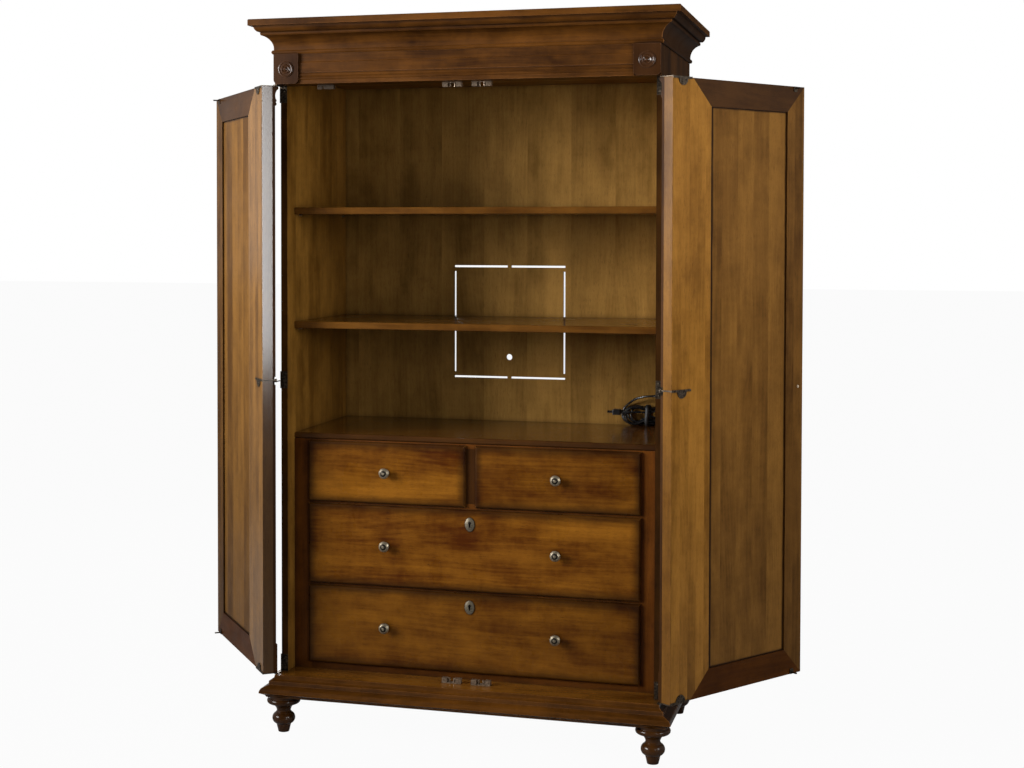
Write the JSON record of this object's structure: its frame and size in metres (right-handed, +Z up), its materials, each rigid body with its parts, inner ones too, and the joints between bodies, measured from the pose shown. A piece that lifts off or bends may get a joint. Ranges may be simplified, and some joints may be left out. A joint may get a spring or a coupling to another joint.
{
  "type": "tv armoire",
  "caption": "Tall two-door wooden media cabinet on turned feet, with a moulded crown, open shelf bays over lipped drawers, and framed doors folded back on offset hinges.",
  "frame": {"origin": "on the floor under the middle of the case, crown front to case back", "axes": "+X to the viewer's right facing the open front, +Y to the back, +Z up"},
  "size_m": [1.919, 0.667, 2.159],
  "materials": {
    "back_wood": "thin veneered panel, satin",
    "case_wood": "satin lacquer on golden-brown stain",
    "catch_metal": "nickel plate",
    "cord_rubber": "glossy black PVC sheath",
    "door_panel_wood": "satin lacquer on golden-brown stain",
    "door_wood": "satin lacquer on golden-brown stain",
    "drawer_wood": "satin lacquer, level grain",
    "hinge_metal": "antique dark bronze",
    "inside_wood": "bare sanded wood",
    "moulding_wood": "satin lacquer, darker in the hollows",
    "outlet_plastic": "dark moulded plastic",
    "peg_steel": "zinc plate",
    "pewter": "antique pewter, rubbed bright on the edges",
    "plug_plastic": "black moulded PVC, blades of brass",
    "shelf_wood": "glossier lacquer, level grain"
  },
  "bodies": {
    "case": {"back_panel": "back_wood", "base_front": "moulding_wood", "base_return_left": "moulding_wood", "base_return_right": "moulding_wood", "bottom_board": "shelf_wood", "case_top": "case_wood", "cord_hank": "cord_rubber", "cord_lead": "cord_rubber", "corner_rosettes": "moulding_wood", "cornice_cap": "moulding_wood", "cornice_front": "moulding_wood", "cornice_return_left": "moulding_wood", "cornice_return_right": "moulding_wood", "crown_frame": "moulding_wood", "deck": "shelf_wood", "door_catches": "catch_metal", "drawer_runners": "inside_wood", "face_frame": "case_wood", "feet": "moulding_wood", "foot_blocks": "inside_wood", "frieze_board": "moulding_wood", "frieze_moulding": "moulding_wood", "hinge_leaves_left": "hinge_metal", "hinge_leaves_right": "hinge_metal", "lower_shelf": "shelf_wood", "outlet_box": "outlet_plastic", "plug": "plug_plastic", "shelf_pegs": "peg_steel", "side_panel_left": "case_wood", "side_panel_right": "case_wood", "upper_shelf": "shelf_wood"},
    "bottom_drawer": {"bottom_drawer_box": "inside_wood", "bottom_drawer_fittings": "pewter", "bottom_drawer_front": "drawer_wood"},
    "left_door": {"left_door_bottom_rail": "door_wood", "left_door_hinge_stile": "door_wood", "left_door_knob": "pewter", "left_door_meeting_stile": "door_wood", "left_door_panel": "door_panel_wood", "left_door_pilaster": "door_wood", "left_door_straps": "hinge_metal", "left_door_top_rail": "door_wood"},
    "middle_drawer": {"middle_drawer_box": "inside_wood", "middle_drawer_fittings": "pewter", "middle_drawer_front": "drawer_wood"},
    "right_door": {"right_door_bottom_rail": "door_wood", "right_door_hinge_stile": "door_wood", "right_door_knob": "pewter", "right_door_meeting_stile": "door_wood", "right_door_panel": "door_panel_wood", "right_door_pilaster": "door_wood", "right_door_straps": "hinge_metal", "right_door_top_rail": "door_wood"},
    "top_left_drawer": {"top_left_drawer_box": "inside_wood", "top_left_drawer_fittings": "pewter", "top_left_drawer_front": "drawer_wood"},
    "top_right_drawer": {"top_right_drawer_box": "inside_wood", "top_right_drawer_fittings": "pewter", "top_right_drawer_front": "drawer_wood"}
  },
  "joints": [
    {"name": "right_door_swing", "type": "hinge", "parent": "case", "child": "right_door", "pos_m": [0.585, -0.2665, 1.072], "axis": [0, 0, 1], "range_deg": [-235.4, 16.6]},
    {"name": "left_door_swing", "type": "hinge", "parent": "case", "child": "left_door", "pos_m": [-0.585, -0.2665, 1.072], "axis": [0, 0, -1], "range_deg": [-233, 19]},
    {"name": "top_left_drawer_slide", "type": "slide", "parent": "case", "child": "top_left_drawer", "axis": [0, -1, 0], "range_m": [0, 0.38]},
    {"name": "top_right_drawer_slide", "type": "slide", "parent": "case", "child": "top_right_drawer", "axis": [0, -1, 0], "range_m": [0, 0.38]},
    {"name": "middle_drawer_slide", "type": "slide", "parent": "case", "child": "middle_drawer", "axis": [0, -1, 0], "range_m": [0, 0.38]},
    {"name": "bottom_drawer_slide", "type": "slide", "parent": "case", "child": "bottom_drawer", "axis": [0, -1, 0], "range_m": [0, 0.38]}
  ]
}
